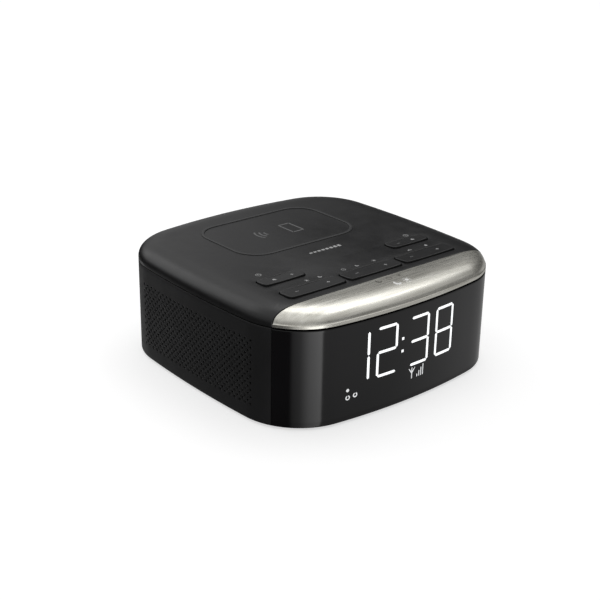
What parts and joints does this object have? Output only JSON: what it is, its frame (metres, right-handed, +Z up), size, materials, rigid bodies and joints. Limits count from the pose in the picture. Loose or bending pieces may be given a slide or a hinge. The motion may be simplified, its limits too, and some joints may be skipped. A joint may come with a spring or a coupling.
{
  "type": "clock radio",
  "caption": "Low rounded-square bedside clock radio with lit digits behind a dark wrap-round window, a brushed snooze bar, top keys and a charging pad.",
  "frame": {"origin": "on the surface the feet stand on, below the middle of the casing", "axes": "+X to the right along the display as a user faces it, +Y to the back, +Z up"},
  "size_m": [0.18, 0.18, 0.0727],
  "materials": {
    "satin_black_plastic": "satin",
    "matte_black_plastic": "matte, fine grain",
    "pad_ring_plastic": "satin",
    "brushed_bar": "brushed metallic coating",
    "smoked_window": "polished",
    "lit_segments": "translucent, lit from behind",
    "inner_plastic": "moulded",
    "steel": "plated",
    "circuit_board": "solder mask",
    "component_plastic": "moulded",
    "white_plastic": "moulded",
    "paper_label": "printed film",
    "rubber_feet": "matte",
    "copper_winding": "enamelled wire",
    "ferrite": "pressed",
    "speaker_basket": "pressed steel, painted",
    "paper_cone": "paper pulp",
    "cone_rubber": "soft"
  },
  "bodies": {
    "casing": {"top_cover": "satin_black_plastic", "charging_ring": "pad_ring_plastic", "bar_tray": "satin_black_plastic", "bar_springs": "steel", "key_carrier": "inner_plastic", "key_board": "circuit_board", "key_switches": "component_plastic", "carrier_screws": "steel", "cabinet": "matte_black_plastic", "grille_left": "matte_black_plastic", "grille_right": "matte_black_plastic", "display_window": "smoked_window", "display_frame": "satin_black_plastic", "display_board": "circuit_board", "display_reflector": "inner_plastic", "digit_segments": "lit_segments", "indicator_segments": "lit_segments", "base_plate": "matte_black_plastic", "base_feet": "rubber_feet", "base_screws": "steel", "rating_label": "paper_label", "battery_holder": "inner_plastic", "coin_cell": "steel", "battery_contact": "steel", "main_board": "circuit_board", "board_screws": "steel", "board_chips": "component_plastic", "board_capacitors": "component_plastic", "board_connectors": "white_plastic", "tuner_shield": "steel", "dc_jack": "component_plastic", "usb_shell": "steel", "usb_tongue": "white_plastic", "antenna_gland": "component_plastic", "charging_bracket": "inner_plastic", "charging_coil": "copper_winding", "ferrite_sheet": "ferrite", "charging_board": "circuit_board", "charging_screws": "steel", "speaker_left_frame": "speaker_basket", "speaker_left_cone": "paper_cone", "speaker_left_surround": "cone_rubber", "speaker_left_magnet": "steel", "speaker_right_frame": "speaker_basket", "speaker_right_cone": "paper_cone", "speaker_right_surround": "cone_rubber", "speaker_right_magnet": "steel", "speaker_screws": "steel", "display_ribbon": "white_plastic", "key_ribbon": "white_plastic"},
    "snooze_bar": {"snooze_bar": "brushed_bar"},
    "alarm_key_left": {"alarm_key_left": "satin_black_plastic"},
    "alarm_key_right": {"alarm_key_right": "satin_black_plastic"},
    "rocker_left": {"rocker_left": "satin_black_plastic"},
    "rocker_middle": {"rocker_middle": "satin_black_plastic"},
    "rocker_right": {"rocker_right": "satin_black_plastic"},
    "battery_door": {"battery_door": "matte_black_plastic", "battery_door_screw": "steel"}
  },
  "joints": [
    {"name": "snooze_bar_press", "type": "slide", "parent": "casing", "child": "snooze_bar", "axis": [0, 0, -1], "range_m": [0, 0.0006], "stiffness_N_per_m": 800, "deforming": ["bar_springs"]},
    {"name": "alarm_key_left_press", "type": "slide", "parent": "casing", "child": "alarm_key_left", "axis": [0, 0, -1], "range_m": [0, 0.0005], "stiffness_N_per_m": 600},
    {"name": "alarm_key_right_press", "type": "slide", "parent": "casing", "child": "alarm_key_right", "axis": [0, 0, -1], "range_m": [0, 0.0005], "stiffness_N_per_m": 600},
    {"name": "rocker_left_tilt", "type": "hinge", "parent": "casing", "child": "rocker_left", "pos_m": [-0.04425, -0.0535, 0.0674], "axis": [0, 1, 0], "range_deg": [-1.8, 1.8], "stiffness_Nm_per_rad": 1},
    {"name": "rocker_middle_tilt", "type": "hinge", "parent": "casing", "child": "rocker_middle", "pos_m": [0, -0.0535, 0.0674], "axis": [0, 1, 0], "range_deg": [-1.8, 1.8], "stiffness_Nm_per_rad": 1},
    {"name": "rocker_right_tilt", "type": "hinge", "parent": "casing", "child": "rocker_right", "pos_m": [0.04425, -0.0535, 0.0674], "axis": [0, 1, 0], "range_deg": [-1.8, 1.8], "stiffness_Nm_per_rad": 1},
    {"name": "battery_door_lift", "type": "slide", "parent": "casing", "child": "battery_door", "axis": [0, 0, -1], "range_m": [0, 0.012]}
  ]
}
